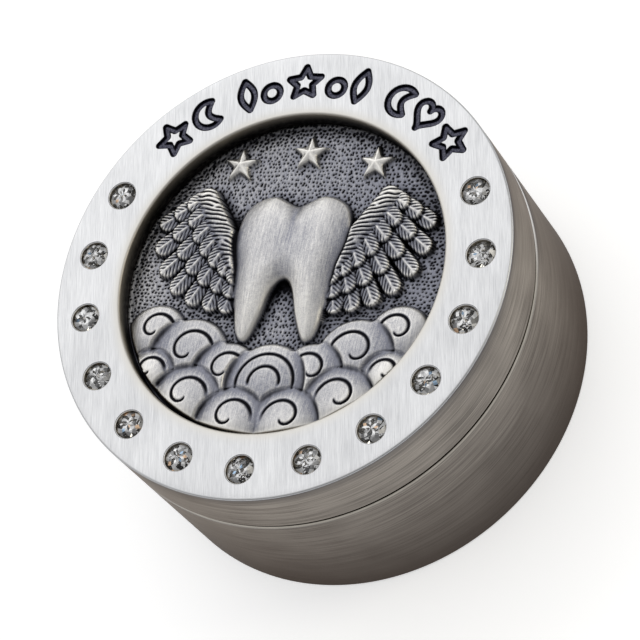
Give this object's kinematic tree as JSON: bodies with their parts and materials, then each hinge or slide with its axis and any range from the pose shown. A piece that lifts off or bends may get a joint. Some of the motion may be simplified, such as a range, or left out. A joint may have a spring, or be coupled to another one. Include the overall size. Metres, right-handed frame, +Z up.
{
  "type": "round keepsake box",
  "caption": "Round satin metal keepsake box with a lift-off lid, a relief medallion and a ring of set crystals.",
  "frame": {"origin": "centre of the underside, on the plane that the foot ring rests on", "axes": "+Z up out of the lid; +Y towards the top of the relief, the side of the ring without crystals"},
  "size_m": [0.045, 0.045, 0.022],
  "materials": {
    "satin_metal": "cast pewter colour, brushed satin",
    "antiqued_metal": "antiqued: dark in the hollows, polished on the high spots",
    "crystal": "clear faceted glass with a mirrored back",
    "velvet": "dark blue velvet over a thin foam pad",
    "card": "dark stiff card"
  },
  "bodies": {
    "base": {"base_cup": "satin_metal", "lining_board": "card", "lining_pad": "velvet"},
    "lid": {"lid_shell": "satin_metal", "relief_medallion": "antiqued_metal", "crystal_01": "crystal", "crystal_02": "crystal", "crystal_03": "crystal", "crystal_04": "crystal", "crystal_05": "crystal", "crystal_06": "crystal", "crystal_07": "crystal", "crystal_08": "crystal", "crystal_09": "crystal", "crystal_10": "crystal", "crystal_11": "crystal", "crystal_12": "crystal", "crystal_13": "crystal"}
  },
  "joints": [
    {"name": "lid_lift", "type": "slide", "parent": "base", "child": "lid", "axis": [0, 0, 1], "range_m": [0, 0.03]}
  ]
}
